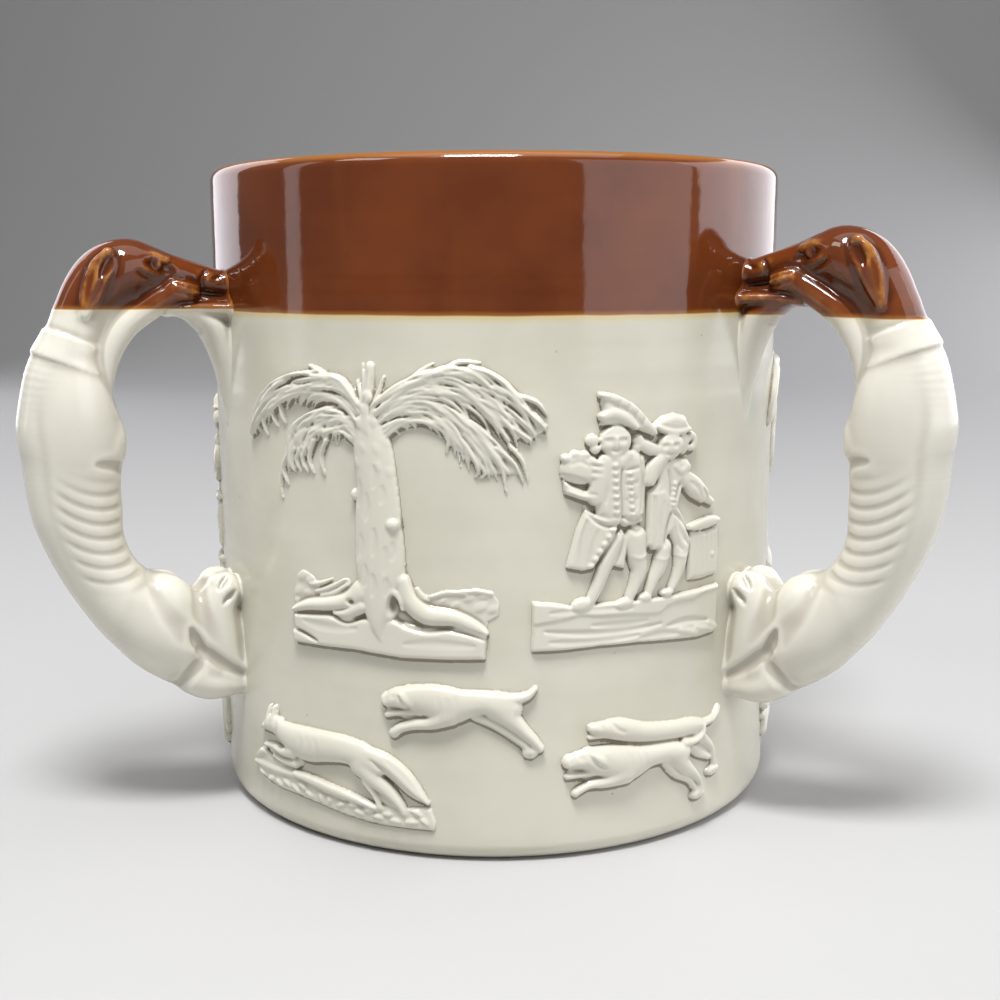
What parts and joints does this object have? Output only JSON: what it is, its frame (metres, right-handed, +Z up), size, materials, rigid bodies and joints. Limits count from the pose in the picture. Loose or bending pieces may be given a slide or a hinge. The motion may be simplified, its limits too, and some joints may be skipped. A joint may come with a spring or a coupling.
{
  "type": "loving cup",
  "caption": "Cylindrical stoneware loving cup with hound-shaped handles, applied hunting sprigs and a brown-dipped rim, for drinking or display.",
  "frame": {"origin": "middle of the foot, on the plane that the cup stands on", "axes": "+Z up along the cup's axis; -Y towards the front panel with the fox; +X to the right as the front panel is seen"},
  "size_m": [0.2204, 0.2039, 0.163],
  "materials": {
    "cup_glaze": "salt-glazed buff stoneware, dipped in glossy brown at the rim",
    "handle_glaze": "salt-glazed buff stoneware, glossy brown above the dip line",
    "sprig_glaze": "salt-glazed pale stoneware relief"
  },
  "bodies": {
    "root": {"cup_body": "cup_glaze", "hound_handle_left": "handle_glaze", "hound_handle_right": "handle_glaze", "hound_handle_back": "handle_glaze", "palm_tree_front": "sprig_glaze", "palm_tree_right": "sprig_glaze", "palm_tree_left": "sprig_glaze", "drinkers_front": "sprig_glaze", "drinkers_right": "sprig_glaze", "drinkers_left": "sprig_glaze", "hound_front": "sprig_glaze", "hound_right": "sprig_glaze", "hound_left": "sprig_glaze", "hound_pair_front": "sprig_glaze", "hound_pair_right": "sprig_glaze", "hound_pair_left": "sprig_glaze", "fox_front": "sprig_glaze", "last_hound_right": "sprig_glaze", "last_hound_left": "sprig_glaze"}
  },
  "joints": []
}
